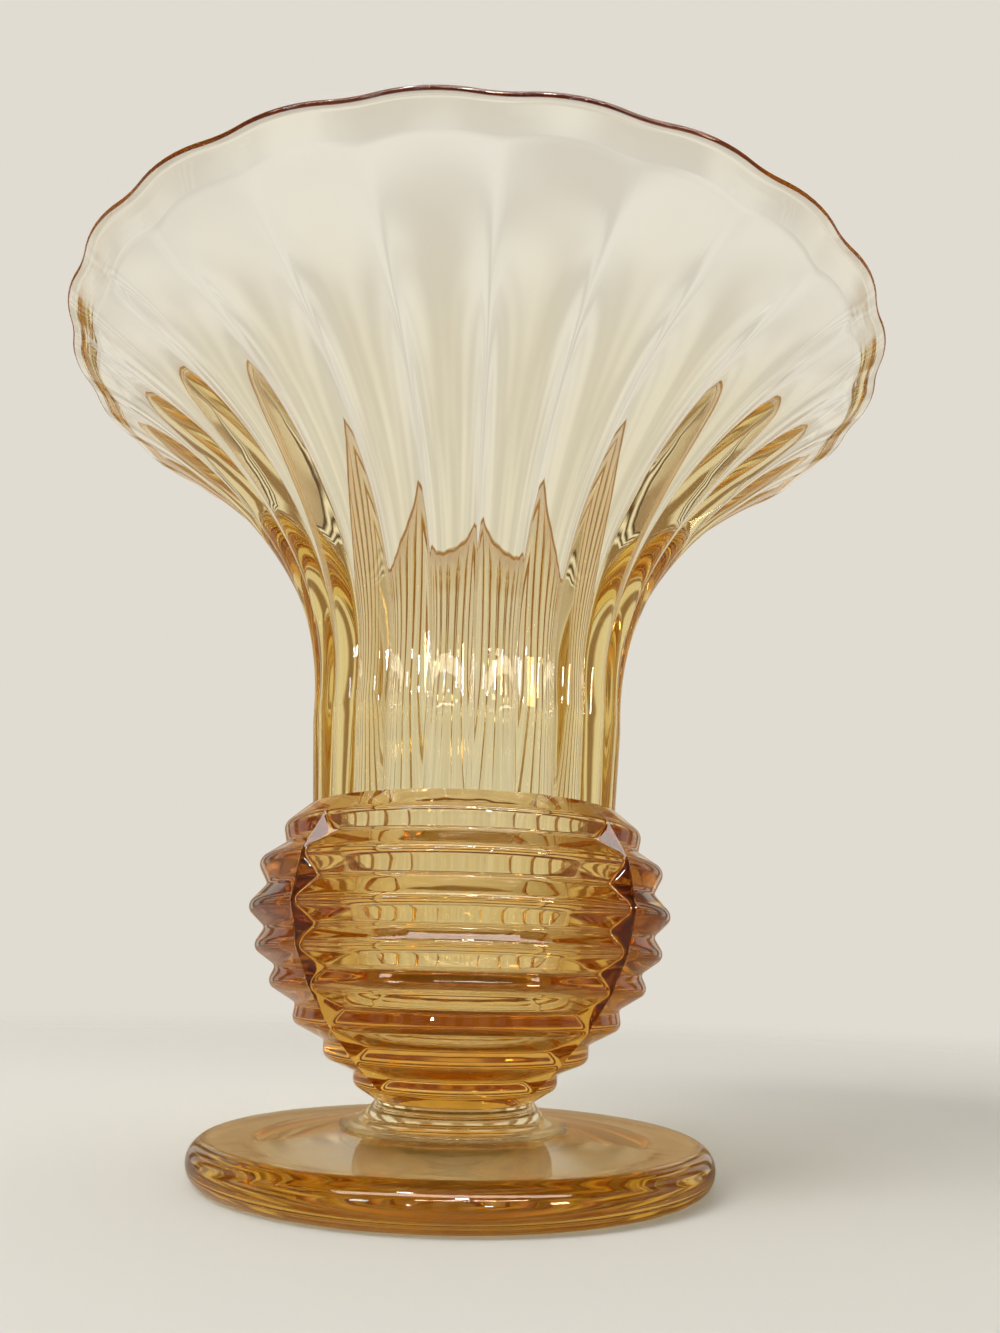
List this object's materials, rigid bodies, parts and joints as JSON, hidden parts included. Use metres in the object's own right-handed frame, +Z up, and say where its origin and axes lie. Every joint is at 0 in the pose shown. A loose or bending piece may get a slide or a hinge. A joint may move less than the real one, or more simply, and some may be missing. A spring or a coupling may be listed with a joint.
{
  "type": "flared footed vase",
  "caption": "Footed flower vase of pale amber glass: rolled foot, ribbed ball knop and a fluted stem that flares to a wide scalloped mouth.",
  "frame": {"origin": "centre of the standing ring, on the surface that the vase stands on", "axes": "+Z up along the axis of the vase, -Y through the middle of one ribbed panel of the knop"},
  "size_m": [0.196, 0.196, 0.18],
  "materials": {
    "amber_glass": "fire-polished, clear, pale amber"
  },
  "bodies": {
    "root": {"foot": "amber_glass", "merese": "amber_glass", "ribbed_knop": "amber_glass", "fluted_bowl": "amber_glass"}
  },
  "joints": []
}
